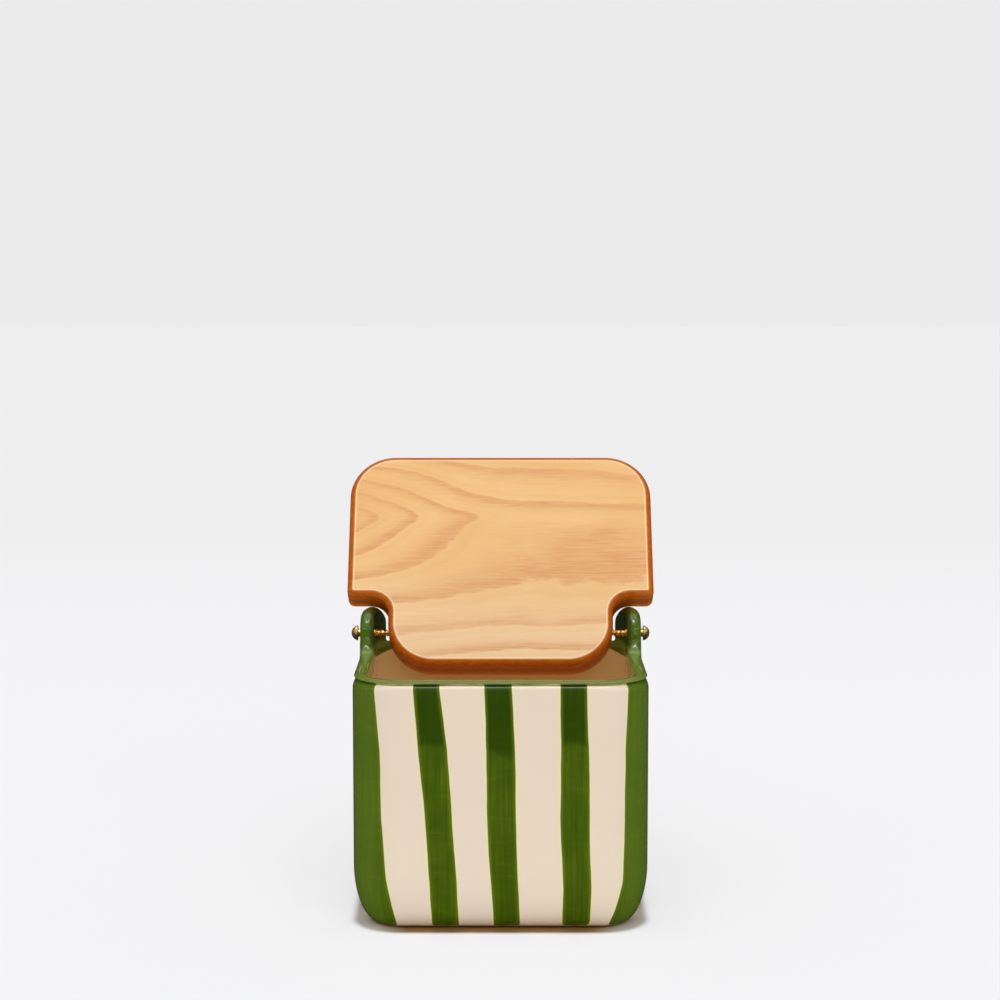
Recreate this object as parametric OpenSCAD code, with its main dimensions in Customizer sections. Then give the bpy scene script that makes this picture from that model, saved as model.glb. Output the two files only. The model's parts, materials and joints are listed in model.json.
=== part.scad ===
// Ceramic salt box with two raised ears at the back and a pine lid that turns on two brass screws.
// Origin: middle of the base, on the table. +Z is up and the open front faces -Y.
// The lid is drawn open, leaning back on the ears.

/* [Vessel] */
// Width of the vessel, side to side
body_w = 121; // [105:1:150]
// Depth of the vessel, front to back
body_d = 104; // [94:1:140]
// Height of the vessel from the table to the top of its rim
body_h = 103; // [75:1:150]
// Corner radius of the vessel seen from above
corner_r = 21; // [18:0.5:22]
// Thickness of the fired wall
wall = 6; // [4.5:0.1:7]
// Thickness of the vessel's floor
floor_t = 6.5; // [4:0.1:10]
// How far the foot draws in under the wall
foot_in = 10; // [6:0.5:14]
// Height over which the foot draws in
foot_h = 24; // [16:0.5:28]
// Radius of the fillet between the inside wall and the floor
inside_r = 9; // [5:0.5:12]

/* [Rim] */
// Height of the rounded bead that runs along the rim
bead_h = 1.8; // [1.4:0.1:3]
// How far the bead's outer edge stands back from the wall's face
bead_back = 0.6; // [0.2:0.1:1]
// Depth of the groove under the bead
groove_in = 2.4; // [1.4:0.1:3]
// Height of the rounded shoulder between the wall and the groove
shoulder_h = 3.2; // [2:0.1:5]

/* [Ears] */
// Radius of the ear's front end about the screw
ear_r = 9.6; // [7:0.1:11]
// Distance from the screw to the middle of the ear's rounded back end
ear_back = 10; // [7:0.1:11]
// Height of the middle of that back end above the screw
ear_back_up = 1.9; // [0:0.1:3]
// Radius of the hollow where the ear's front runs down into the rim
ear_fillet_r = 6.5; // [3:0.1:6.5]
// Radius of the hollow where the ear's back runs down into the rim
ear_back_fillet_r = 2.5; // [1.5:0.1:3]
// Room left between the lid and the ears when the lid leans on them
stop_gap = 0.35; // [0.3:0.05:0.6]

/* [Lid] */
// Thickness of the board
lid_t = 12.6; // [10:0.1:14]
// How far the lid stands out past each side of the vessel
side_over = 6.3; // [3:0.1:10]
// How far the lid stands out past the front of the vessel
front_over = 5.5; // [2:0.1:10]
// Radius of the lid's two front corners
front_r = 20; // [12:0.5:28]
// Distance from the screw line to the shoulders, where the board widens
shoulder_to_screw = 15.2; // [15.2:0.1:17]
// Radius of the shoulders' outer corners
shoulder_r = 3.2; // [3:0.1:6]
// Radius of the hollow corners beside the tab
notch_r = 8; // [5:0.1:8]
// Room between the tab and each ear, where the screw can be seen
tab_gap = 5.8; // [4:0.1:8]
// How far the tab reaches behind the screw line
tab_reach = 17.4; // [14:0.1:18]
// Radius of the tab's two corners
tab_r = 20; // [12:0.5:22]
// Radius of the rounded edge round the lid's underside
under_r = 2.7; // [1.5:0.1:3]
// Radius of the eased edge round the lid's top
top_r = 1; // [0.5:0.1:1.5]
// Room between the closed lid and the rim
closed_gap = 0.5; // [0.4:0.1:1.5]
// Room behind the tab, up to the inside of the back wall
back_gap = 1.6; // [1.5:0.1:4]
// How far the lid turns from closed to fully open, in degrees
open_angle = 124; // [118:1:128]

/* [Hinge screws] */
// Radius of the brass shank
screw_r = 1.75; // [1.4:0.05:2.2]
// Length of the screw under its head
screw_len = 25; // [20:0.5:30]
// Length of the screw's point
point_len = 3.5; // [2:0.1:5]
// Radius of the round head
head_r = 3.3; // [2.8:0.1:4.5]
// Height of the round head
head_h = 2.9; // [2:0.1:3.2]
// Width of the slot across the head
slot_w = 0.9; // [0.6:0.1:1.2]
// Depth of the slot
slot_depth = 1.2; // [0.8:0.1:1.5]
// Gap between the head and the ear
head_gap = 1.2; // [0.3:0.1:1.5]
// Clearance all round the shank where it turns in the ear
bore_clear = 0.1; // [0.05:0.01:0.1]

/* [Hidden] */
$fn = 64;
// Segments in each quarter turn of a drawn outline
quarter_steps = 6;
// Segments along the straight top of an ear
top_steps = 3;
// Overrun of a cut past the face it opens
over = 1;
// Turn of a bore about its own line, so that its seam lies between the lines of the ear, in degrees
bore_turn = 17;
glaze_color = [0.93, 0.88, 0.81];
pine_color = [0.92, 0.74, 0.52];
brass_color = [0.80, 0.62, 0.28];

half_w = body_w / 2;
half_d = body_d / 2;
half_wall = wall / 2;
groove_z = body_h - bead_h;
wall_top_z = groove_z - shoulder_h;
bead_w = wall - bead_back;
bead_mid = bead_back + bead_w / 2;
// Where the straight sides end and the rounded back corners begin
corner_x = half_w - corner_r;
corner_y = half_d - corner_r;

// The screw line, which is the hinge axis
screw_y = half_d - wall - back_gap - tab_reach;
screw_z = body_h + closed_gap + lid_t / 2;

lid_half_w = half_w + side_over;
lid_front = screw_y + half_d + front_over;
tab_half_w = half_w - wall - tab_gap;
lean = open_angle - 90;

// The shoulders' eased back edge comes to rest against the back end of the ears
rest_along = shoulder_to_screw + top_r;
rest_behind = lid_t / 2 - top_r;
rest_y = rest_along * sin(lean) + rest_behind * cos(lean) - ear_back;
rest_z = rest_along * cos(lean) - rest_behind * sin(lean) - ear_back_up;
ear_back_r = norm([rest_y, rest_z]) - top_r - stop_gap;

// Points of a circular or squashed arc, each [across, up] from its centre
function arc(across, up, from, to, steps = quarter_steps) =
    [for (k = [0 : steps]) let (a = from + (to - from) * k / steps) [across * cos(a), up * sin(a)]];

function shifted(points, by) = [for (p = points) p + by];

// Sections through the wall hold the distance in from its outer face and the height.
// The foot and the plain wall above it
foot_section = shifted(arc(foot_in, foot_h, -90, -180), [foot_in, foot_h]);
// The shoulder and the bead along the rim
rim_section = concat(
    shifted(arc(groove_in, shoulder_h, 180, 90, quarter_steps / 2), [groove_in, wall_top_z]),
    shifted(arc(bead_w / 2, bead_h / 2, -90, -360, 2 * quarter_steps), [bead_mid, body_h - bead_h / 2])
);
// The inside of the wall, down to the floor
inside_section = concat(
    [[wall, wall_top_z]],
    shifted(arc(inside_r, inside_r, -180, -90), [wall + inside_r, floor_t + inside_r])
);

// A place on the outer face: x, y and the direction that faces outwards.
// side_place follows the side wall and then the back corner, by the distance back at half the wall's thickness.
function side_place(y) =
    y <= corner_y ? [half_w, y, 1, 0]
    : let (a = asin((y - corner_y) / (corner_r - half_wall)))
        [corner_x + corner_r * cos(a), corner_y + corner_r * sin(a), cos(a), sin(a)];

function inwards(place, inset, z) = [place[0] - inset * place[2], place[1] - inset * place[3], z];

// The ear's outline from the front hollow over the top to the back hollow, about the screw.
// Each entry holds y, z, the outward direction y, z and how far the rim has turned into an ear there.
rim_drop = screw_z - body_h;
back_end = ear_back + ear_back_r;
// Direction square to the line that touches both round ends from above
touch = atan2(ear_back_up, ear_back) + acos((ear_r - ear_back_r) / norm([ear_back, ear_back_up]));

function hollow(centre, r, from, to, steps, rising) =
    [for (k = [0 : steps]) let (a = from + (to - from) * k / steps, share = (rising ? k : steps - k) / steps)
        [centre[0] + r * cos(a), centre[1] + r * sin(a), -cos(a), -sin(a), share * share * (3 - 2 * share)]];

function round_end(centre, r, from, to, steps) =
    [for (k = [0 : steps]) let (a = from + (to - from) * k / steps)
        [centre[0] + r * cos(a), centre[1] + r * sin(a), cos(a), sin(a), 1]];

ear_line = concat(
    hollow([-ear_r - ear_fillet_r, ear_fillet_r - rim_drop], ear_fillet_r, -90, 0, quarter_steps / 2, true),
    round_end([0, 0], ear_r, 180, touch, quarter_steps),
    [for (k = [1 : top_steps - 1]) let (n = [cos(touch), sin(touch)], share = k / top_steps,
        p = (ear_r * (1 - share) + ear_back_r * share) * n + share * [ear_back, ear_back_up]) [p[0], p[1], n[0], n[1], 1]],
    round_end([ear_back, ear_back_up], ear_back_r, touch, 0, quarter_steps),
    hollow([back_end + ear_back_fillet_r, ear_back_fillet_r - rim_drop], ear_back_fillet_r, 180, 270,
        quarter_steps / 2, false)
);
ear_from = screw_y - ear_r - ear_fillet_r;
ear_to = screw_y + back_end + ear_back_fillet_r;

// One upright line of points round the wall, from the edge of the foot over the rim to the edge of the floor
function plain_line(place) = [for (p = concat(foot_section, rim_section, inside_section)) inwards(place, p[0], p[1])];

function ear_line_points(index) =
    let (
        e = ear_line[index],
        share = e[4],
        rise = e[1] + rim_drop,
        base_y = ear_from + (ear_to - ear_from) * index / (len(ear_line) - 1),
        place = side_place(base_y),
        steps = quarter_steps / 2,
        inner_y = screw_y + e[0] - half_wall * e[2],
        inner_z = screw_z + e[1] - half_wall * e[3],
        upright = [for (k = [0 : steps]) let (share_up = k / (steps + 1))
            inwards(side_place(base_y + (inner_y - base_y) * share_up), 0,
                wall_top_z + (inner_z - wall_top_z) * share_up)],
        over_top = [for (k = [0 : 4 * steps]) let (a = -180 - 180 * k / (4 * steps), depth = half_wall * (1 - sin(a)))
            inwards(side_place(screw_y + e[0] - depth * e[2]), half_wall * (1 + cos(a)),
                screw_z + e[1] - depth * e[3])],
        ear = concat(upright, over_top)
    )
    concat(
        [for (p = foot_section) inwards(place, p[0], p[1])],
        [for (k = [0 : len(rim_section) - 1]) let (p = rim_section[k])
            inwards(place, p[0], p[1] + rise) * (1 - share) + ear[k] * share],
        [for (p = inside_section) inwards(place, p[0], p[1])]
    );

// The lines round one half of the vessel, from the middle of the front to the middle of the back
back_corner_from = acos((corner_y - ear_to) / (corner_r - half_wall)) - 90;
right_lines = concat(
    [plain_line([0, -half_d, 0, -1])],
    [for (k = [0 : quarter_steps]) let (a = -90 + 90 * k / quarter_steps)
        plain_line([corner_x + corner_r * cos(a), -corner_y + corner_r * sin(a), cos(a), sin(a)])],
    [for (k = [0 : len(ear_line) - 1]) ear_line_points(k)],
    [for (k = [1 : 3]) let (a = back_corner_from + (90 - back_corner_from) * k / 3)
        plain_line([corner_x + corner_r * cos(a), corner_y + corner_r * sin(a), cos(a), sin(a)])],
    [plain_line([0, half_d, 0, 1])]
);

module vessel_solid() {
    count = len(right_lines);
    lines = concat(
        right_lines,
        [for (k = [count - 2 : -1 : 1]) [for (p = right_lines[k]) [-p[0], p[1], p[2]]]]
    );
    around = len(lines);
    up = len(lines[0]);
    base_middle = around * up;
    floor_middle = base_middle + 1;
    points = concat([for (line = lines) each line], [[0, 0, 0], [0, 0, floor_t]]);
    polyhedron(points, [for (i = [0 : around - 1]) let (n = (i + 1) % around) each concat(
        [[i * up, n * up, base_middle], [n * up + up - 1, i * up + up - 1, floor_middle]],
        [for (k = [0 : up - 2]) [i * up + k, i * up + k + 1, n * up + k + 1, n * up + k]]
    )]);
}

module vessel() {
    color(glaze_color) difference() {
        vessel_solid();
        for (side = [-1, 1])
            translate([side * (half_w - half_wall), screw_y, screw_z]) rotate([0, 90, 0]) rotate(bore_turn)
                cylinder(h = 2 * wall, r = screw_r + bore_clear, center = true);
    }
}

// One side of the lid's outline, drawn in by a given amount: x across, y from the screw line to the front.
// Round corners keep their centres, so the outline stays parallel to itself.
function lid_side(inset) = concat(
    shifted(arc(tab_r - inset, tab_r - inset, -90, 0), [tab_half_w - tab_r, tab_r - tab_reach]),
    shifted(arc(notch_r + inset, notch_r + inset, 180, 90), [tab_half_w + notch_r, shoulder_to_screw - notch_r]),
    shifted(arc(shoulder_r - inset, shoulder_r - inset, -90, 0),
        [lid_half_w - shoulder_r, shoulder_to_screw + shoulder_r]),
    shifted(arc(front_r - inset, front_r - inset, 0, 90), [lid_half_w - front_r, lid_front - front_r])
);

function lid_outline(inset) = let (side = lid_side(inset)) concat(
    side,
    [for (k = [len(side) - 1 : -1 : 0]) [-side[k][0], side[k][1]]]
);

// Rings of the lid's edge from its top to its underside, which faces forward while the lid is open:
// inset and distance through the board
lid_rings = concat(
    shifted(arc(top_r, top_r, -90, -180, quarter_steps / 2), [top_r, top_r]),
    shifted(arc(under_r, under_r, 180, 90), [under_r, lid_t - under_r])
);

module board() {
    rings = [for (r = lid_rings) [for (p = lid_outline(r[0])) [p[0], p[1], r[1]]]];
    around = len(rings[0]);
    points = [for (ring = rings) each ring];
    last = len(rings) - 1;
    polyhedron(points, concat(
        [[for (k = [0 : around - 1]) k]],
        [for (i = [0 : last - 1], k = [0 : around - 1]) let (n = (k + 1) % around)
            [i * around + k, (i + 1) * around + k, (i + 1) * around + n, i * around + n]],
        [[for (k = [around - 1 : -1 : 0]) last * around + k]]
    ));
}

// Tip of a screw, measured from the middle of the lid
screw_tip = half_w + head_gap - screw_len;

module lid() {
    color(pine_color) translate([0, screw_y, screw_z]) difference() {
        rotate([90 - lean, 0, 0]) translate([0, 0, -lid_t / 2]) board();
        for (side = [-1, 1])
            rotate([0, side * 90, 0]) translate([0, 0, screw_tip])
                cylinder(h = tab_half_w - screw_tip + over, r = screw_r);
    }
}

// A round-headed slotted screw along +Z, with its tip at the bottom
module screw() {
    dome_r = (head_r * head_r + head_h * head_h) / (2 * head_h);
    difference() {
        union() {
            rotate_extrude() polygon([[0, 0], [screw_r, point_len], [screw_r, screw_len], [0, screw_len]]);
            translate([0, 0, screw_len]) intersection() {
                cylinder(h = head_h, r = head_r);
                translate([0, 0, head_h - dome_r]) sphere(dome_r);
            }
        }
        translate([-slot_w / 2, -head_r - over, screw_len + head_h - slot_depth])
            cube([slot_w, 2 * (head_r + over), slot_depth + over]);
    }
}

module hinge_screw(side) {
    color(brass_color) translate([side * screw_tip, screw_y, screw_z]) rotate([0, side * 90, 0]) screw();
}

module hinge_screw_left() {
    hinge_screw(-1);
}

module hinge_screw_right() {
    hinge_screw(1);
}

vessel();
lid();
hinge_screw_left();
hinge_screw_right();
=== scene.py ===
# A ceramic salt box with painted stripes and a pine lid. The lid stands open: it leans back on the two ears
# of the vessel, between which it turns on a pair of brass screws.
import json
import math

import bmesh
import bpy
import numpy as np
from mathutils import Matrix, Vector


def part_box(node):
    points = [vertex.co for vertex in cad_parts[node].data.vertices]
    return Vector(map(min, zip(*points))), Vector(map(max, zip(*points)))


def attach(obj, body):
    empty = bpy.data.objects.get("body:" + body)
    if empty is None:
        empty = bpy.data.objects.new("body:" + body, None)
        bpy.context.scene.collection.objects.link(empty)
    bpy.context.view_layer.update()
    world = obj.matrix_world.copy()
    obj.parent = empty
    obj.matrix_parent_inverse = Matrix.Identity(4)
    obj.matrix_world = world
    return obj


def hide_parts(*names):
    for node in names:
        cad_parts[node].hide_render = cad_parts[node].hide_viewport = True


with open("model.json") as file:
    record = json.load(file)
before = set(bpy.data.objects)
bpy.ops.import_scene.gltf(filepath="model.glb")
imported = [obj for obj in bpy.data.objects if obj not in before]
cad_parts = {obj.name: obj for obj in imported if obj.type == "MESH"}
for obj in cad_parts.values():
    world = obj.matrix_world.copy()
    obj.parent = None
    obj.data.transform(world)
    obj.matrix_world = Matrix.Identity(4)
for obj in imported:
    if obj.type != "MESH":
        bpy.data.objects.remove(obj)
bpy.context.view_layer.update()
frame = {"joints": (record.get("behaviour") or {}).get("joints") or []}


# Camera. It stands a metre in front of the vessel and a little above the open lid, as in the photograph.
camera_data = bpy.data.cameras.new("camera")
camera_data.sensor_width = 36
camera_data.lens = 81.99
camera_data.clip_end = 40
camera = bpy.data.objects.new("camera", camera_data)
camera.location = (-0.00025, -0.94896, 0.27115)
camera.rotation_euler = (math.radians(90 - 6.05), 0, 0)
bpy.context.scene.collection.objects.link(camera)
bpy.context.scene.camera = camera


# The vessel. It is one casting of earthenware, dipped in a cream glaze and painted by hand with green. The
# foot draws in, a rounded bead runs round the rim over a groove, and two lobes rise from the back of the rim
# to carry the screws. The mesh is drawn in lines that run up the wall, over the rim and down to the floor.
# Shapes are written in millimetres, and the scene is in metres.
MM, TO_MM = 0.001, 1000


def arc(across, up, start, stop, steps):
    """Points of a circular or squashed arc about its own centre, in millimetres."""
    turn = [math.radians(start + (stop - start) * k / steps) for k in range(steps + 1)]
    return [(across * math.cos(a), up * math.sin(a)) for a in turn]


def shifted(points, across, up):
    return [(x + across, y + up) for x, y in points]


hinge_y, hinge_z = (TO_MM * v for v in frame["joints"][0]["pos_m"][1:])
box_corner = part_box("vessel")[1] * TO_MM
half_width, half_depth = box_corner[0], box_corner[1]
rim_top = 103
corner_r = 21
wall_thick = 6
floor_thick = 6.5
foot_in, foot_high = 10, 24
hollow_r = 9
bead_high, bead_back = 1.8, 0.6
front_groove, side_groove = (1.6, 1.6), (3.0, 4.2)
ear_front_r, ear_fillet_r, ear_back_fillet_r = 9.6, 6.5, 2.5
ear_back_y, ear_back_z, ear_back_r = 10, 1.9, 7.89
QUARTER = 16
FOOT_STEPS, WALL_STEPS, INSIDE_STEPS, FLOOR_STEPS, EAR_TOP_STEPS = 14, 24, 20, 10, 6
FRONT_LINES, SIDE_LINES, BACK_CORNER_LINES = 17, 20, 9

half_wall = wall_thick / 2
groove_z = rim_top - bead_high
shoulder_z = groove_z - front_groove[1]
rim_drop = hinge_z - rim_top
corner_x, corner_y = half_width - corner_r, half_depth - corner_r
bead_wide = wall_thick - bead_back

foot_section = shifted(arc(foot_in, foot_high, -90, -180, FOOT_STEPS), foot_in, foot_high)
foot_section += [(0, foot_high + (shoulder_z - foot_high) * k / WALL_STEPS) for k in range(1, WALL_STEPS)]
bead_section = arc(bead_wide / 2, bead_high / 2, -90, -360, 2 * QUARTER)
bead_section = shifted(bead_section, bead_back + bead_wide / 2, rim_top - bead_high / 2)
hollow_top = floor_thick + hollow_r
inside_section = [
    (wall_thick, shoulder_z + (hollow_top - shoulder_z) * k / INSIDE_STEPS) for k in range(INSIDE_STEPS)
]
inside_section += shifted(arc(hollow_r, hollow_r, -180, -90, FLOOR_STEPS), wall_thick + hollow_r, hollow_top)


def corner_place(front, angle):
    """A place on the outer face at a corner: x, y, the outward direction and the way round from the front."""
    c, s = math.cos(angle), math.sin(angle)
    y = -corner_y - corner_r * s if front else corner_y + corner_r * s
    first = corner_x if front else corner_x + corner_r * math.pi / 2 + 2 * corner_y
    along = first + corner_r * (math.pi / 2 - angle if front else angle)
    return corner_x + corner_r * c, y, c, -s if front else s, along


def side_place(y):
    """A place on the side wall or the back corner, by the distance back at half the wall's thickness."""
    if y <= corner_y:
        return half_width, y, 1, 0, corner_x + corner_r * math.pi / 2 + corner_y + y
    return corner_place(False, math.asin((y - corner_y) / (corner_r - half_wall)))


def inwards(place, inset, z):
    return place[0] - inset * place[2], place[1] - inset * place[3], z


def rim_section(place):
    """The shoulder, the groove and the bead. The groove is deeper along the sides than along the front."""
    side = abs(place[2])
    inset, high = (front * (1 - side) + beside * side for front, beside in zip(front_groove, side_groove))
    return shifted(arc(inset, high, 180, 90, QUARTER // 2), inset, groove_z - high) + bead_section


def plain_line(place):
    return [inwards(place, *p) for p in foot_section + rim_section(place) + inside_section], place[4]


def hollow(centre_y, centre_z, r, start, stop, rising):
    """Where an ear rises out of the rim or sinks into it: y, z, outward y, outward z, and the ear's share."""
    line = []
    for k in range(QUARTER // 2 + 1):
        a = math.radians(start + (stop - start) * 2 * k / QUARTER)
        share = 2 * k / QUARTER if rising else 1 - 2 * k / QUARTER
        soft_share = share**2 * (3 - 2 * share)
        line.append(
            (centre_y + r * math.cos(a), centre_z + r * math.sin(a), -math.cos(a), -math.sin(a), soft_share)
        )
    return line


def lobe(centre_y, centre_z, r, start, stop):
    turn = [math.radians(start + (stop - start) * k / QUARTER) for k in range(QUARTER + 1)]
    return [
        (centre_y + r * math.cos(a), centre_z + r * math.sin(a), math.cos(a), math.sin(a), 1) for a in turn
    ]


# An ear from the side: a hollow rises out of the rim into a round front, and a straight top leads to a round
# back and a small hollow down to the rim again. Its places count from the screw.
ear_slope = math.atan2(ear_back_z, ear_back_y)
touch = ear_slope + math.acos((ear_front_r - ear_back_r) / math.hypot(ear_back_y, ear_back_z))
top_y, top_z = math.cos(touch), math.sin(touch)
ear_line = hollow(-ear_front_r - ear_fillet_r, ear_fillet_r - rim_drop, ear_fillet_r, -90, 0, True)
ear_line += lobe(0, 0, ear_front_r, 180, math.degrees(touch))
for k in range(1, EAR_TOP_STEPS):
    share = k / EAR_TOP_STEPS
    r = ear_front_r + (ear_back_r - ear_front_r) * share
    ear_line.append((r * top_y + ear_back_y * share, r * top_z + ear_back_z * share, top_y, top_z, 1))
ear_line += lobe(ear_back_y, ear_back_z, ear_back_r, math.degrees(touch), 0)
ear_end = ear_back_y + ear_back_r + ear_back_fillet_r
ear_line += hollow(ear_end, ear_back_fillet_r - rim_drop, ear_back_fillet_r, 180, 270, False)
ear_from, ear_to = hinge_y - ear_front_r - ear_fillet_r, hinge_y + ear_end


def ear_line_points(index):
    """One line up the wall, over an ear and down inside. At the ear's two ends it eases into the bead."""
    y, z, out_y, out_z, share = ear_line[index]
    base_y = ear_from + (ear_to - ear_from) * index / (len(ear_line) - 1)
    place = side_place(base_y)
    inner_y, inner_z = hinge_y + y - half_wall * out_y, hinge_z + z - half_wall * out_z
    ear = []
    for k in range(QUARTER // 2 + 1):
        up = k / (QUARTER // 2 + 1)
        side = side_place(base_y + (inner_y - base_y) * up)
        ear.append(inwards(side, 0, shoulder_z + (inner_z - shoulder_z) * up))
    for k in range(2 * QUARTER + 1):
        a = math.radians(-180 - 90 * k / QUARTER)
        depth = half_wall * (1 - math.sin(a))
        side = side_place(hinge_y + y - depth * out_y)
        ear.append(inwards(side, half_wall * (1 + math.cos(a)), hinge_z + z - depth * out_z))
    line = [inwards(place, *p) for p in foot_section]
    for (inset, height), e in zip(rim_section(place), ear):
        rim = inwards(place, inset, height + z + rim_drop)
        line.append(tuple(a * (1 - share) + b * share for a, b in zip(rim, e)))
    return line + [inwards(place, *p) for p in inside_section], place[4]


right_lines = [plain_line((x, -half_depth, 0, -1, x)) for x in np.linspace(0, corner_x, FRONT_LINES)]
right_lines += [plain_line(corner_place(True, a)) for a in np.linspace(math.pi / 2, 0, QUARTER + 1)[1:]]
right_lines += [plain_line(side_place(y)) for y in np.linspace(-corner_y, ear_from, SIDE_LINES)[1:-1]]
right_lines += [ear_line_points(k) for k in range(len(ear_line))]
last_turn = math.asin((ear_to - corner_y) / (corner_r - half_wall))
right_lines += [
    plain_line(corner_place(False, a)) for a in np.linspace(last_turn, math.pi / 2, BACK_CORNER_LINES)[1:]
]
all_round = 2 * (corner_x * 2 + corner_y * 2 + math.pi * corner_r)
right_lines += [
    plain_line((x, half_depth, 0, 1, all_round / 2 - x)) for x in np.linspace(corner_x, 0, FRONT_LINES)[1:]
]
left_lines = [([(-x, y, z) for x, y, z in line], -along) for line, along in right_lines[-2:0:-1]]
wall_lines = right_lines + left_lines
up_count, around_count = len(wall_lines[0][0]), len(wall_lines)
along_wall = np.repeat([along for _, along in wall_lines], up_count)
vessel_points = np.array([p for line, _ in wall_lines for p in line])

# The painter's stripes: their left and right edges, in millimetres round the wall from the middle of the
# front, at five heights from the rim to the foot. The brush wandered, so no two are quite alike. Only those
# at the front corners run on under the foot.
STRIPE_HEIGHTS = (99.5, 75, 47, 20, 2.5)
FAR_OFF = 50.0
front_corner_reach = (48, 80)
bare_foot = 1.1
paint_outside = groove_z + 0.5
STRIPES = (
    ((-35.1, -24.3), (-33.1, -21.5), (-30.4, -19.5), (-28.7, -17.6), (-28.0, -16.9)),
    ((-6.6, 4.6), (-5.9, 6.0), (-5.5, 6.2), (-4.0, 7.0), (-2.9, 7.9)),
    ((23.9, 34.6), (24.2, 35.4), (24.0, 35.9), (25.1, 36.6), (25.2, 36.3)),
    ((-74.0, -51.5), (-74.5, -48.8), (-73.4, -48.2), (-74.2, -46.2), (-73.0, -43.1)),
    ((52.0, 74.5), (50.7, 73.6), (50.6, 73.0), (49.8, 73.8), (45.9, 74.4)),
    ((86.7, 97.6), (87.4, 98.8), (86.9, 98.4), (88.0, 99.3), (88.6, 99.0)),
    ((110.2, 121.2), (109.6, 120.9), (109.9, 121.5), (109.0, 120.3), (108.1, 119.8)),
    ((134.0, 155.6), (133.4, 156.0), (134.3, 156.4), (135.2, 157.8), (136.4, 160.2)),
    ((168.9, 180.0), (169.5, 181.1), (170.6, 181.9), (171.2, 182.8), (172.0, 183.1)),
    ((200.9, 212.0), (200.2, 211.6), (200.8, 212.4), (199.6, 211.0), (199.0, 210.2)),
    ((-98.1, -87.3), (-98.9, -87.5), (-99.6, -88.4), (-98.7, -87.9), (-98.0, -87.6)),
    ((-121.8, -110.8), (-121.0, -110.1), (-120.4, -109.3), (-121.1, -109.7), (-121.7, -110.9)),
    ((-156.1, -134.2), (-156.6, -134.8), (-155.9, -134.1), (-158.0, -135.6), (-160.5, -136.9)),
    ((-181.2, -170.2), (-180.6, -169.2), (-181.5, -170.3), (-182.9, -171.4), (-183.2, -172.2)),
)

# Inside, the green of the rim reaches lower at the sides, and lower still before the ears. Each zone says
# where that starts and where it is complete: two by the distance across, and the last from back to front.
paint_inside, paint_at_sides, paint_before_ears = 1.8, 3, 5
side_zone, wall_zone, before_ears_zone = (44, 53), (50, 54), (26, 14)
outside_down = -5


def ramp(values, start, stop):
    """0 up to start, 1 past stop, and straight between them. start may be the greater."""
    return np.clip((values - start) / (stop - start), 0, 1)


across_wall, height = abs(vessel_points[:, 0]), vessel_points[:, 2]
to_stripe = np.full(len(vessel_points), FAR_OFF)
for stripe in STRIPES:
    left_edge, right_edge = (
        np.interp(height, STRIPE_HEIGHTS[::-1], [edges[k] for edges in stripe[::-1]]) for k in (0, 1)
    )
    for turn in (0, -all_round):
        beside = np.maximum(left_edge + turn - along_wall, along_wall - right_edge - turn)
        to_stripe = np.minimum(to_stripe, beside)

# In each line the rows past the top of the bead are inside.
row = np.tile(np.arange(up_count), around_count)
inner_start = len(foot_section) + QUARTER // 2 + 1 + QUARTER
to_stripe = np.where(row > inner_start, FAR_OFF, to_stripe)
on_corner = (abs(along_wall) > front_corner_reach[0]) & (abs(along_wall) < front_corner_reach[1])
to_stripe = np.where(on_corner, to_stripe, np.maximum(to_stripe, bare_foot - height))
side_share = ramp(across_wall, *side_zone)
before_ears = ramp(across_wall, *wall_zone) * ramp(vessel_points[:, 1], *before_ears_zone)
paint_low = rim_top - paint_inside - paint_at_sides * side_share - paint_before_ears * before_ears
over_paint_line = height - np.where(row > inner_start, paint_low, paint_outside)
down_inside = np.where(row > inner_start, rim_top - height, outside_down)

faces = []
for i in range(around_count):
    n = (i + 1) % around_count
    for k in range(up_count - 1):
        faces.append((i * up_count + k, n * up_count + k, n * up_count + k + 1, i * up_count + k + 1))
base_middle, floor_middle = len(vessel_points), len(vessel_points) + 1
for i in range(around_count):
    n = (i + 1) % around_count
    faces.append((n * up_count, i * up_count, base_middle))
    faces.append((i * up_count + up_count - 1, n * up_count + up_count - 1, floor_middle))
vessel_points = np.vstack([vessel_points, (0, 0, 0), (0, 0, floor_thick)])
vessel_mesh = bpy.data.meshes.new("salt_box_vessel")
vessel_mesh.from_pydata((vessel_points * MM).tolist(), [], faces)
for name, values, floor_value in (
    ("to_stripe", to_stripe, FAR_OFF),
    ("over_paint_line", over_paint_line, -FAR_OFF),
    ("down_inside", down_inside, rim_top - floor_thick),
):
    layer = vessel_mesh.attributes.new(name, "FLOAT", "POINT")
    layer.data.foreach_set("value", np.append(values, (floor_value, floor_value)) * MM)
round_wall = vessel_mesh.uv_layers.new(name="round_wall")
along_all = np.append(along_wall, (0, 0))
for polygon in vessel_mesh.polygons:
    alongs = [along_all[v] for v in polygon.vertices]
    if max(alongs) - min(alongs) > all_round / 2:
        alongs = [a - all_round if a > 0 else a for a in alongs]
    for loop, a in zip(polygon.loop_indices, alongs):
        z = vessel_points[vessel_mesh.loops[loop].vertex_index][2]
        round_wall.data[loop].uv = (a * MM, z * MM)
vessel_mesh.shade_smooth()
vessel = bpy.data.objects.new("salt_box_vessel", vessel_mesh)
bpy.context.scene.collection.objects.link(vessel)


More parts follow.
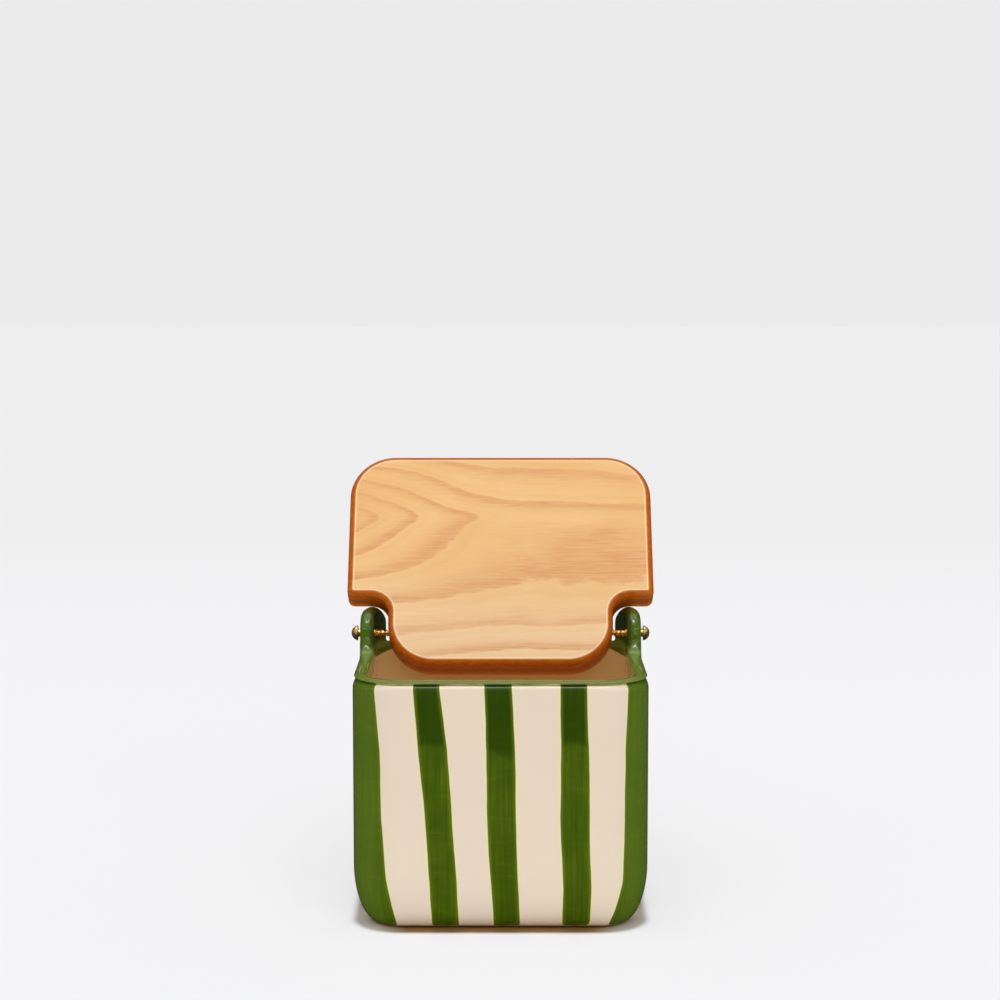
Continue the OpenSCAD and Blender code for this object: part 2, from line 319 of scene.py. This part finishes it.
class Wire:
    """A socket of a material. A sum written with wires adds the Math nodes that work it out."""

    def __init__(self, finish, socket):
        self.finish, self.socket = finish, socket

    def __add__(self, other):
        return self.finish.math("ADD", self, other)

    def __sub__(self, other):
        return self.finish.math("SUBTRACT", self, other)

    def __mul__(self, other):
        return self.finish.math("MULTIPLY", self, other)

    def __truediv__(self, other):
        return self.finish.math("DIVIDE", self, other)

    def __rtruediv__(self, other):
        return self.finish.math("DIVIDE", other, self)


class Finish:
    """A surface finish: a material with one Principled shader, and the nodes that feed it."""

    def __init__(self, name, **fixed):
        self.material = bpy.data.materials.new(name)
        self.material.use_nodes = True
        self.tree = self.material.node_tree
        self.shader = self.tree.nodes["Principled BSDF"]
        for socket, value in fixed.items():
            self.shader.inputs[socket.replace("_", " ")].default_value = value

    def join(self, value, socket):
        if isinstance(value, Wire):
            self.tree.links.new(value.socket, socket)
        else:
            socket.default_value = value

    def node(self, kind, settings=None, sockets=None, output=0):
        node = self.tree.nodes.new("ShaderNode" + kind)
        for key, value in (settings or {}).items():
            setattr(node, key, value)
        for key, value in (sockets or {}).items():
            self.join(value, node.inputs[key])
        return Wire(self, node.outputs[output])

    def feed(self, socket, value):
        self.join(value, self.shader.inputs[socket])

    def math(self, operation, *values):
        return self.node("Math", {"operation": operation}, dict(enumerate(values)))

    def part(self, place, axis):
        return self.node("SeparateXYZ", None, {0: place}, "XYZ".index(axis))

    def attribute(self, name):
        return self.node("Attribute", {"attribute_name": name}, None, "Fac")

    def rise(self, value, low, high):
        """0 below low, 1 above high, and a soft step between them. low may be the greater."""
        sockets = {"Value": value, "From Min": low, "From Max": high}
        return self.node("MapRange", {"interpolation_type": "SMOOTHSTEP"}, sockets)

    def mix(self, share, under, over):
        return self.node("Mix", {"data_type": "RGBA"}, {0: share, 6: under, 7: over}, 2)

    def noise(self, place, scale, detail=2.0, roughness=0.5, distortion=0.0):
        sockets = {"Vector": place, "Scale": scale, "Detail": detail, "Roughness": roughness}
        return self.node("TexNoise", None, sockets | {"Distortion": distortion})

    def stretched(self, place, *scale):
        return self.node("VectorMath", {"operation": "MULTIPLY"}, {0: place, 1: scale})


def colour(red, green, blue):
    """A colour written as it looks on the screen, 0 to 255, as the shader wants it."""
    shares = (red / 255, green / 255, blue / 255)
    return tuple(v / 12.92 if v < 0.04045 else ((v + 0.055) / 1.055) ** 2.4 for v in shares) + (1,)


# The glaze: a cream dip with the green brushed on by hand under it. The green pools dark where the brush was
# full and thins to yellow-green at its edges, which keep a pale halo. The unglazed foot is bare clay.
glaze = Finish("striped_glaze", Roughness=0.1, IOR=1.5, Specular_IOR_Level=0.35)
place = glaze.node("TexCoord", None, None, "Object")
from_middle, level = glaze.math("ABSOLUTE", glaze.part(place, "X")), glaze.part(place, "Z")
wall_place = glaze.node("UVMap", {"uv_map": "round_wall"})
from_front = glaze.math("ABSOLUTE", glaze.part(wall_place, "X"))
bristles = glaze.noise(glaze.stretched(wall_place, 900, 26, 1), 1.0, 4.0, 0.6)
strokes = glaze.noise(glaze.stretched(wall_place, 60, 330, 1), 1.0, 3.0, 0.6)
pools = glaze.noise(place, 46, 3.0, 0.55)

# Where the brush went, and how far inside its edge a place lies.
wander = glaze.noise(glaze.stretched(wall_place, 260, 42, 1), 1.0, 3.0) - 0.5
stripe_edge = glaze.attribute("to_stripe") + wander * 0.0011
paint_line = glaze.attribute("over_paint_line") + (glaze.noise(place, 130, 2.0) - 0.5) * 0.0012
green_depth = glaze.math("MAXIMUM", paint_line, stripe_edge * -1)
green = glaze.rise(green_depth, -0.00012, 0.00022)
halo = glaze.rise(green_depth, -0.0011, -0.0001)
thin_edge = glaze.rise(green_depth, 0.0018, 0.0001)

# The top of the front stripes is darker, above a wavy line. The green is lighter from the front corners
# round, the edges of the green took less colour, and the ears are darker. The lighter green on the bead is a
# painted highlight, and the darkest green, on the inner sides of the ears, is painted shade.
dark_top_line = level + (glaze.noise(glaze.stretched(wall_place, 40, 20, 1), 1.0) - 0.5) * 0.02
dark_front_tops = glaze.rise(dark_top_line, 0.0725, 0.0765) * glaze.rise(from_front, 0.047, 0.043)
on_corners = glaze.rise(from_front, 0.043, 0.054)
painted_bead_highlight = glaze.rise(level, 0.1010, 0.1014) * glaze.rise(level, 0.1048, 0.1034)
on_ears = glaze.rise(level, 0.104, 0.107)
painted_shade_inside_ears = on_ears * glaze.rise(from_middle, 0.0566, 0.0556)
green_colour = glaze.mix(glaze.rise(bristles, 0.3, 0.75), colour(62, 84, 6), colour(84, 106, 14))
for share, tint in (
    (glaze.rise(pools, 0.35, 0.7) * 0.55, colour(50, 74, 4)),
    (glaze.rise(strokes, 0.52, 0.8) * 0.4, colour(98, 118, 20)),
    (dark_front_tops * 0.74, colour(36, 60, 0)),
    (on_corners * 0.5, colour(96, 122, 36)),
    # A painted highlight: the bead is lighter where it catches the light from above.
    (painted_bead_highlight * 0.45, colour(132, 150, 70)),
    (on_ears * 0.35, colour(44, 74, 8)),
    # Painted shade on the inner sides of the ears.
    (painted_shade_inside_ears * 0.6, colour(36, 42, 0)),
    (thin_edge * 0.6, colour(108, 122, 16)),
):
    green_colour = glaze.mix(share, green_colour, tint)

clouds = glaze.rise(glaze.noise(place, 22, 2.0), 0.35, 0.65)
# Inside, the cream is tinted warmer: painted warm light, bounced from the pine lid and the glaze.
inside = glaze.rise(glaze.attribute("down_inside"), 0.0005, 0.004)
clay = glaze.rise(level + (glaze.noise(place, 90) - 0.5) * 0.0008, 0.0014, 0.0009)
cream_colour = glaze.mix(clouds, colour(233, 217, 197), colour(236, 219, 196))
cream_colour = glaze.mix(halo * 0.55, cream_colour, colour(236, 232, 160))
cream_colour = glaze.mix(inside, cream_colour, colour(239, 210, 156))
skin = glaze.mix(clay, glaze.mix(green, cream_colour, green_colour), colour(168, 132, 84))
smears = glaze.rise(glaze.noise(place, 120, 3.0), 0.2, 0.9)
waves = glaze.noise(place, 38, 1.0) + glaze.noise(place, 210, 2.0) * 0.12
waves = waves + green * 0.12 + bristles * green * 0.05
waves = waves + on_ears * glaze.noise(place, 270, 2.0, 0.5, 0.6) * 1.8
relief = glaze.node("Bump", None, {"Strength": 1.0, "Distance": 0.00035, "Height": waves})
glaze.feed("Base Color", skin)
glaze.feed("Roughness", smears * 0.08 + 0.05 + clay * 0.6)
glaze.feed("Normal", relief)
vessel_mesh.materials.append(glaze.material)

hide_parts("vessel")
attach(vessel, "vessel")


# The lid. It is sawn from one pine board, with a wide front, two shoulders and a narrower tab that passes
# between the ears. It is oiled, and its edge is rounded over with a router below and only eased on top.
board_thick = 12.6
board_half, board_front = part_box("lid")[1][0] * TO_MM, 84.5
BIG_CORNER_STEPS, NOTCH_STEPS, SMALL_CORNER_STEPS = 18, 14, 10
TOP_EDGE_STEPS, FLAT_EDGE_STEPS, UNDER_EDGE_STEPS = 6, 4, 10
shoulder, shoulder_r, notch_r = 15.2, 3.2, 8
tab_half, tab_back, tab_r, front_r = 48.7, 17.4, 20, 20
under_r, top_r = 3.1, 1
lean = math.radians(34)


def lid_outline(inset):
    """The board's outline drawn in by inset: across, and along from the screw line towards the front."""
    side = []
    for r, start, stop, steps, x, y in (
        (tab_r - inset, -90, 0, BIG_CORNER_STEPS, tab_half - tab_r, tab_r - tab_back),
        (notch_r + inset, 180, 90, NOTCH_STEPS, tab_half + notch_r, shoulder - notch_r),
        (shoulder_r - inset, -90, 0, SMALL_CORNER_STEPS, board_half - shoulder_r, shoulder + shoulder_r),
        (front_r - inset, 0, 90, BIG_CORNER_STEPS, board_half - front_r, board_front - front_r),
    ):
        side += shifted(arc(r, r, start, stop, steps), x, y)
    return side + [(-x, y) for x, y in side[::-1]]


edge_profile = shifted(arc(top_r, top_r, -90, -180, TOP_EDGE_STEPS), top_r, top_r)
flat_edge = board_thick - top_r - under_r
edge_profile += [(0, top_r + flat_edge * k / FLAT_EDGE_STEPS) for k in range(1, FLAT_EDGE_STEPS)]
edge_profile += shifted(arc(under_r, under_r, 180, 90, UNDER_EDGE_STEPS), under_r, board_thick - under_r)
runs = [0.0]
for (a, b), (c, d) in zip(edge_profile, edge_profile[1:]):
    runs.append(runs[-1] + math.hypot(c - a, d - b))
rings = [[(x, y, z - board_thick / 2) for x, y in lid_outline(inset)] for inset, z in edge_profile]
ring_size = len(rings[0])
last_ring = (len(rings) - 1) * ring_size
lid_faces = [list(range(ring_size))[::-1], list(range(last_ring, last_ring + ring_size))]
for i in range(len(rings) - 1):
    for k in range(ring_size):
        n = (k + 1) % ring_size
        a = i * ring_size
        lid_faces.append((a + k, a + n, a + ring_size + n, a + ring_size + k))
lid_mesh = bpy.data.meshes.new("pine_lid")
lid_mesh.from_pydata([[v * MM for v in p] for ring in rings for p in ring], [], lid_faces)
from_face = lid_mesh.attributes.new("from_face", "FLOAT", "POINT")
from_face.data.foreach_set("value", [min(r, runs[-1] - r) * MM for r in runs for _ in range(ring_size)])
lid_mesh.shade_smooth()
hinge_place = (0, hinge_y * MM, hinge_z * MM)
lid_mesh.transform(Matrix.Translation(hinge_place) @ Matrix.Rotation(math.pi / 2 - lean, 4, "X"))
lid = bpy.data.objects.new("pine_lid", lid_mesh)
bpy.context.scene.collection.objects.link(lid)

# The pine: flat-sawn, so that its rings show as nested arches over the left of the underside and as long
# waves beside them. The board runs left to right. Its sawn edges take up more oil, which makes them darker,
# and painted shade makes them darker still.
pine = Finish("pine", Roughness=0.5, IOR=1.45, Specular_IOR_Level=0.25)
place = pine.node("TexCoord", None, None, "Object")
to_board = {"Vector": place, "Location": hinge_place, "Rotation": (math.pi / 2 - lean, 0, 0)}
board_place = pine.node("Mapping", {"vector_type": "TEXTURE"}, to_board)
across, along, through = (pine.part(board_place, axis) * TO_MM for axis in "XYZ")

# The rings. The nested arches lie about a line 54 mm from the screws, and their tips point to the right.
warp = pine.noise(pine.stretched(board_place, 14, 26, 26), 1.0, 2.0) - 0.5
fine_warp = pine.noise(pine.stretched(board_place, 90, 260, 260), 1.0, 4.0, 0.65) - 0.5
from_axis = along - 54
nested = pine.math("SMOOTH_MAX", from_axis / 7, from_axis / -12, 0.9)
tips = pine.math("SMOOTH_MIN", (across + 70) / 20, across / 200 + 3, 1.2)
closeness = 1.0 / (from_axis * from_axis / 625 + 1)
ring = nested + tips * closeness + warp * 1.1 + fine_warp * 0.22
ring_place = pine.math("FRACT", ring + 0.05)
late_wood = pine.rise(ring_place, 0.42, 0.9) * pine.rise(ring_place, 1.0, 0.93)
faint_place = pine.math("FRACT", ring * 3 + 0.4)
faint_wood = pine.rise(faint_place, 0.3, 0.7) * pine.rise(faint_place, 1.0, 0.8)
fibres = pine.noise(pine.stretched(board_place, 70, 1300, 1300), 1.0, 3.0, 0.6)
tone = pine.noise(pine.stretched(board_place, 16, 24, 24), 1.0, 3.0)
pores = pine.rise(pine.noise(pine.stretched(board_place, 260, 2600, 2600), 1.0, 1.0), 0.78, 0.84)
ring_strength = (pine.rise(fibres, 0.25, 0.7) * 0.35 + 0.3) * pine.rise(tone, 0.1, 0.6)
wood = pine.mix(pine.rise(tone, 0.35, 0.65), colour(229, 180, 117), colour(234, 190, 131))
for share, tint in (
    (pine.rise(along, 34, -10) * 0.75, colour(239, 208, 166)),
    (late_wood * ring_strength, colour(206, 132, 84)),
    (faint_wood * 0.07, colour(206, 138, 84)),
    (pine.rise(fibres, 0.35, 0.75) * 0.08, colour(208, 146, 84)),
    (pores * 0.35, colour(120, 74, 40)),
):
    wood = pine.mix(share, wood, tint)

# The sawn edge is oiled wood, darker than the faces, and painted shade darkens it further: darkest along its
# middle and towards the underside, lighter towards the top. A pale line along the arris, where the edge meets
# the faces, is a painted highlight.
run_in = pine.attribute("from_face")
edge = pine.rise(run_in, 0.0004, 0.0013)
painted_arris_highlight = pine.rise(run_in, 0.00005, 0.0002) * pine.rise(run_in, 0.0007, 0.0004)
speckle = pine.noise(pine.stretched(board_place, 260, 520, 900), 1.0, 3.0, 0.6)
oiled_and_shaded_edge = pine.mix(pine.rise(speckle, 0.3, 0.75), colour(182, 86, 4), colour(213, 117, 17))
for share, tint in (
    (pine.rise(through, 4, 0) * pine.rise(through, -4, -1) * 0.5, colour(146, 60, 0)),
    (pine.rise(through, -2.5, -5) * 0.6, colour(222, 130, 36)),
    (pine.rise(through, 2, 4.5) * 0.35, colour(156, 62, 0)),
):
    oiled_and_shaded_edge = pine.mix(share, oiled_and_shaded_edge, tint)
wood = pine.mix(painted_arris_highlight * 0.7, pine.mix(edge, wood, oiled_and_shaded_edge), colour(252, 226, 184))
raised = fibres + late_wood * 0.4 - pores
pine.feed("Base Color", wood)
pine.feed("Roughness", pine.rise(fibres, 0.2, 0.8) * 0.14 + 0.38 - edge * 0.08)
pine.feed("Normal", pine.node("Bump", None, {"Strength": 0.6, "Distance": 0.0001, "Height": raised}))
lid_mesh.materials.append(pine.material)

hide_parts("lid")
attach(lid, "lid")


# The hinge screws. They are slotted round-head wood screws of turned brass. Each passes through an ear, where
# it turns freely, and bites into the edge of the lid's tab. The thread runs up to the inside of the ear.
shank_r, core_r, thread_pitch = 1.7, 1.05, 1.8
head_r, head_high, head_rim = 3.3, 2.9, 0.2
slot_wide, slot_deep, slot_long = 0.9, 1.2, 12
screw_tip, under_head = 36.7, 61.7
point_long, point_middle = 3.5, 1.8
thread_start, thread_end, thread_run_out = 40.5, 54, 0.4
left_slot_turn, right_slot_turn = 62, 24
ROUND_STEPS, DOME_STEPS, THREAD_STEPS, THREAD_SIDES = 40, 12, 28, 4


def turned(profile, steps):
    """A closed mesh turned about Z from (radius, height) points that start and end on the axis."""
    made = bmesh.new()
    rows = []
    for radius, z in profile:
        if radius == 0:
            rows.append([made.verts.new((0, 0, z))] * steps)
        else:
            turn = [2 * math.pi * k / steps for k in range(steps)]
            rows.append([made.verts.new((radius * math.cos(a), radius * math.sin(a), z)) for a in turn])
    for low, high in zip(rows, rows[1:]):
        for k in range(steps):
            n = (k + 1) % steps
            corners = dict.fromkeys((low[k], low[n], high[n], high[k]))
            made.faces.new(corners)
    bmesh.ops.recalc_face_normals(made, faces=made.faces)
    return made


def thread_tree(material):
    """Geometry Nodes that wind a pointed thread round a turned screw."""
    tree = bpy.data.node_groups.new("screw_thread", "GeometryNodeTree")
    tree.interface.new_socket("Screw", in_out="INPUT", socket_type="NodeSocketGeometry")
    sizes = {"Core radius": core_r, "Crest radius": shank_r, "Pitch": thread_pitch, "Start": 0, "Length": 1}
    for name, value in sizes.items():
        tree.interface.new_socket(name, in_out="INPUT", socket_type="NodeSocketFloat").default_value = value
    tree.interface.new_socket("Screw", in_out="OUTPUT", socket_type="NodeSocketGeometry")

    def add(kind, settings=None, sockets=None):
        node = tree.nodes.new(kind)
        for key, value in (settings or {}).items():
            setattr(node, key, value)
        for key, value in (sockets or {}).items():
            if isinstance(value, bpy.types.NodeSocket):
                tree.links.new(value, node.inputs[key])
            else:
                node.inputs[key].default_value = value
        return node

    given = add("NodeGroupInput").outputs
    core, crest_radius = given["Core radius"], given["Crest radius"]
    turns = add("ShaderNodeMath", {"operation": "DIVIDE"}, {0: given["Length"], 1: given["Pitch"]}).outputs[0]
    spiral = {"Resolution": THREAD_STEPS, "Rotations": turns, "Start Radius": core, "End Radius": core}
    winding = add("GeometryNodeCurveSpiral", None, spiral | {"Height": given["Length"]}).outputs[0]
    depth = add("ShaderNodeMath", {"operation": "SUBTRACT"}, {0: crest_radius, 1: core}).outputs[0]
    ridge = {"Resolution": THREAD_SIDES, "Radius": depth}
    crest = add("GeometryNodeCurvePrimitiveCircle", {"mode": "RADIUS"}, ridge).outputs[0]
    lift = add("ShaderNodeCombineXYZ", None, {"Z": given["Start"]}).outputs[0]
    winding = add("GeometryNodeTransform", None, {"Geometry": winding, "Translation": lift}).outputs[0]
    upright = add("GeometryNodeSetCurveNormal", {"mode": "Z_UP"}, {"Curve": winding}).outputs[0]
    swept = {"Curve": upright, "Profile Curve": crest, "Fill Caps": True}
    thread = add("GeometryNodeCurveToMesh", None, swept).outputs[0]
    both = add("GeometryNodeJoinGeometry")
    tree.links.new(thread, both.inputs[0])
    tree.links.new(given["Screw"], both.inputs[0])
    whole = add("GeometryNodeRealizeInstances", None, {"Geometry": both.outputs[0]}).outputs[0]
    dressed = add("GeometryNodeSetMaterial", None, {"Geometry": whole, "Material": material}).outputs[0]
    add("NodeGroupOutput", None, {0: dressed})
    return tree


# Turned brass, dulled a little in patches.
brass = Finish("brass", Metallic=1.0, Roughness=0.28)
place = brass.node("TexCoord", None, None, "Object")
tarnish = brass.noise(place, 900, 3.0)
dull_brass = brass.mix(brass.rise(tarnish, 0.35, 0.75), colour(246, 210, 140), colour(206, 164, 92))
brass.feed("Base Color", dull_brass)
brass.feed("Roughness", brass.rise(tarnish, 0.3, 0.8) * 0.15 + 0.36)
thread = thread_tree(brass.material)
socket_of = {item.name: item.identifier for item in thread.interface.items_tree if item.in_out == "INPUT"}

dome_r = (head_r**2 + head_high**2) / (2 * head_high)
head_top = under_head + head_high
dome = [
    (dome_r * math.sin(a), head_top - dome_r + dome_r * math.cos(a))
    for a in np.linspace(math.asin(head_r / dome_r), 0, DOME_STEPS)
]
dome[-1] = (0, dome[-1][1])
profile = [
    (0, screw_tip),
    (core_r / 2, screw_tip + point_middle),
    (core_r, screw_tip + point_long),
    (core_r, thread_end),
    (shank_r, thread_end + thread_run_out),
    (shank_r, under_head),
    (head_r - head_rim, under_head),
    (head_r, under_head + head_rim),
]
profile += dome[1:]
for side, slot_turn, name in (
    (-1, left_slot_turn, "hinge_screw_left"), (1, right_slot_turn, "hinge_screw_right")
):
    body = turned(profile, ROUND_STEPS)
    solid = bpy.data.meshes.new(name)
    body.to_mesh(solid)
    body.free()
    screw = bpy.data.objects.new("brass_" + name, solid)
    bpy.context.scene.collection.objects.link(screw)
    cutter_mesh = bpy.data.meshes.new("slot_cutter")
    cutter = bmesh.new()
    bmesh.ops.create_cube(cutter, size=1, matrix=Matrix.Diagonal((slot_wide, slot_long, 2 * slot_deep, 1)))
    bmesh.ops.translate(cutter, verts=cutter.verts, vec=(0, 0, head_top))
    cutter.to_mesh(cutter_mesh)
    cutter.free()
    slot_cutter = bpy.data.objects.new("slot_cutter", cutter_mesh)
    bpy.context.scene.collection.objects.link(slot_cutter)
    cut = screw.modifiers.new("slot", "BOOLEAN")
    cut.operation, cut.solver, cut.object = "DIFFERENCE", "EXACT", slot_cutter
    wound = screw.modifiers.new("thread", "NODES")
    wound.node_group = thread
    wound[socket_of["Start"]] = float(thread_start)
    wound[socket_of["Length"]] = float(thread_end - thread_start)
    finished = bpy.data.meshes.new_from_object(screw.evaluated_get(bpy.context.evaluated_depsgraph_get()))
    screw.modifiers.clear()
    screw.data = finished
    bpy.data.objects.remove(slot_cutter)
    finished.transform(
        Matrix.Translation(hinge_place)
        @ Matrix.Rotation(side * math.pi / 2, 4, "Y")
        @ Matrix.Rotation(math.radians(slot_turn), 4, "Z")
        @ Matrix.Diagonal((MM, MM, MM, 1))
    )
    finished.shade_smooth()
    finished.set_sharp_from_angle(angle=math.radians(40))
    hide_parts(name)
    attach(screw, "lid")


# The stage: a white table that runs back to a pale wall. A dark card lies in front, out of the camera's view,
# where only reflections find it. The light is soft, and most of it comes from above and in front.
def stage_sheet(name, low, high, z, finish):
    mesh = bpy.data.meshes.new(name)
    corners = [(low[0], low[1], z), (high[0], low[1], z), (high[0], high[1], z), (low[0], high[1], z)]
    mesh.from_pydata(corners, [], [(0, 1, 2, 3)])
    mesh.materials.append(finish.material)
    sheet = bpy.data.objects.new(name, mesh)
    bpy.context.scene.collection.objects.link(sheet)
    return sheet


paper = Finish("white_paper", Roughness=0.2)
place = paper.node("TexCoord", None, None, "Object")
table_x, table_y = (paper.part(place, axis) * TO_MM for axis in "XY")
aside, away = paper.math("ABSOLUTE", table_x), paper.math("ABSOLUTE", table_y)
past_x = paper.math("MAXIMUM", aside - corner_x, 0.0)
past_y = paper.math("MAXIMUM", away - corner_y, 0.0)
from_foot = paper.math("SQRT", past_x * past_x + past_y * past_y) - (corner_r - foot_in)
# Round the foot the table is painted with a contact shadow: tan in front of the vessel, where it also stands
# for the foot's reflection, and grey at the sides and back.
open_table = paper.rise(from_foot, 8, 13)
paper_colour = paper.mix(paper.rise(table_y, 300, 1500), colour(246, 246, 248), colour(239, 239, 240))
not_before = paper.math("MAXIMUM", paper.rise(aside, 36, 52), paper.rise(table_y, -40, -20))
painted_contact_shadow = paper.mix(not_before, colour(150, 116, 72), colour(214, 206, 196))
paper.feed("Base Color", paper.mix(open_table, painted_contact_shadow, paper_colour))
polished = Wire(paper, paper.shader.outputs[0])
matt = paper.node("BsdfDiffuse", None, {"Color": paper_colour})
lit_paper = paper.node("MixShader", None, {0: open_table, 1: polished, 2: matt})
glow = paper.node("Emission", None, {"Color": paper_colour, "Strength": 1.0})
glow_share = paper.node("LightPath", None, None, "Is Camera Ray") * open_table * 0.62
whole_paper = paper.node("MixShader", None, {0: glow_share, 1: lit_paper, 2: glow})
paper.join(whole_paper, paper.tree.nodes["Material Output"].inputs["Surface"])
table = stage_sheet("table", (-12, -0.32), (12, 8.3), 0, paper)
table.visible_glossy = False
black = Finish("dark_card", Base_Color=colour(30, 30, 28), Roughness=0.9)
card = stage_sheet("card", (-3, -3), (3, 0.4), -0.002, black)
card.visible_camera = card.visible_diffuse = card.visible_shadow = card.visible_transmission = False

world = bpy.data.worlds.new("studio")
bpy.context.scene.world = world
world.use_nodes = True
sky = world.node_tree
sky.nodes.clear()


def sky_node(kind, sockets, settings=None):
    node = sky.nodes.new("ShaderNode" + kind)
    for key, value in (settings or {}).items():
        setattr(node, key, value)
    for key, value in sockets.items():
        if isinstance(value, bpy.types.NodeSocket):
            sky.links.new(value, node.inputs[key])
        else:
            node.inputs[key].default_value = value
    return node.outputs


path = sky_node("LightPath", {})
direction = sky_node("SeparateXYZ", {0: sky_node("TexCoord", {})["Generated"]})


def sky_rise(axis, low, high, top):
    sockets = {"Value": direction[axis], "From Min": low, "From Max": high, "To Max": top}
    return sky_node("MapRange", sockets, {"interpolation_type": "SMOOTHSTEP"})[0]


def sky_math(operation, a, b):
    return sky_node("Math", {0: a, 1: b}, {"operation": operation})[0]


# What glossy surfaces mirror: a bright ceiling, a row of lamps and a row of windows in front, and elsewhere a
# near-darkness, deepest behind.
in_front = sky_rise("Y", -0.05, -0.15, 1)
lamp_row = sky_math("MULTIPLY", sky_rise("Z", 0.9, 0.92, 16), sky_rise("Z", 0.96, 0.94, 1))
window_row = sky_math("MULTIPLY", sky_rise("Z", 0.34, 0.36, 3.5), sky_rise("Z", 0.46, 0.44, 1))
mirrored = sky_math("MULTIPLY", sky_math("ADD", lamp_row, window_row), in_front)
mirrored = sky_math("ADD", mirrored, sky_rise("Z", 0.62, 0.86, 1.8))
mirrored = sky_math("ADD", mirrored, sky_rise("Y", 0.2, 0.98, -0.04))
mirrored = sky_math("ADD", mirrored, 0.06)
soft = sky_node("Background", {"Color": (1, 1, 1, 1), "Strength": 0.55})
mirror_light = sky_node("Background", {"Color": (1, 1, 1, 1), "Strength": mirrored})
backdrop = sky_node("Background", {"Color": colour(236, 235, 236)})
lit = sky_node("MixShader", {0: path["Is Glossy Ray"], 1: soft[0], 2: mirror_light[0]})
seen = sky_math("MAXIMUM", path["Is Camera Ray"], path["Is Transmission Ray"])
sky_node("OutputWorld", {0: sky_node("MixShader", {0: seen, 1: lit[0], 2: backdrop[0]})[0]})

for name, strength, tilt, turn, spread in (("overhead", 1.0, 18, -20, 70), ("front", 0.75, 58, 14, 60)):
    lamp = bpy.data.lights.new(name, "SUN")
    lamp.energy = strength
    lamp.angle = math.radians(spread)
    lamp_object = bpy.data.objects.new(name, lamp)
    lamp_object.rotation_euler = (math.radians(tilt), 0, math.radians(turn))
    lamp_object.visible_glossy = False
    bpy.context.scene.collection.objects.link(lamp_object)

bpy.context.scene.view_settings.view_transform = "Standard"
